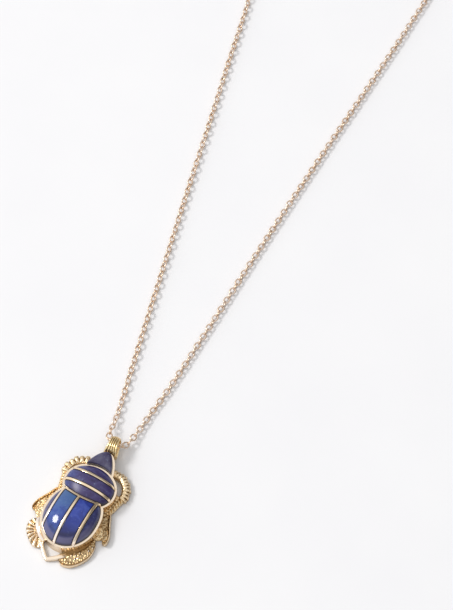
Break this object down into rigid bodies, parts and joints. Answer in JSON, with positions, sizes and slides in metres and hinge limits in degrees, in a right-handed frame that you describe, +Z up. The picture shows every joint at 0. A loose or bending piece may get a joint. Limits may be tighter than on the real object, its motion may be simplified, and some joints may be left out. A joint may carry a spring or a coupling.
{
  "type": "scarab pendant necklace",
  "caption": "Beetle-shaped pendant with blue stones set in a gold frame with toothed legs, hung by a fluted bail from a closed loop of fine link chain.",
  "frame": {"origin": "on the flat underside of the setting, on the beetle's axis, 12 mm behind the line between thorax and head", "axes": "+Y along the beetle from tail to head and on along the chain, +Z up out of the stones"},
  "size_m": [0.0565, 0.2393, 0.0078],
  "materials": {
    "setting_gold": "polished",
    "bail_gold": "polished",
    "chain_gold": "polished",
    "lapis_head_stone": "polished",
    "lapis_thorax_stone_front": "polished",
    "lapis_thorax_stone_middle": "polished",
    "lapis_thorax_stone_rear": "polished",
    "lapis_wing_stone_left_outer": "polished",
    "lapis_wing_stone_left_inner": "polished",
    "lapis_wing_stone_right_inner": "polished",
    "lapis_wing_stone_right_outer": "polished"
  },
  "bodies": {
    "root": {"setting": "setting_gold", "bail": "bail_gold", "chain": "chain_gold", "head_stone": "lapis_head_stone", "thorax_stone_front": "lapis_thorax_stone_front", "thorax_stone_middle": "lapis_thorax_stone_middle", "thorax_stone_rear": "lapis_thorax_stone_rear", "wing_stone_left_outer": "lapis_wing_stone_left_outer", "wing_stone_left_inner": "lapis_wing_stone_left_inner", "wing_stone_right_inner": "lapis_wing_stone_right_inner", "wing_stone_right_outer": "lapis_wing_stone_right_outer"}
  },
  "joints": []
}
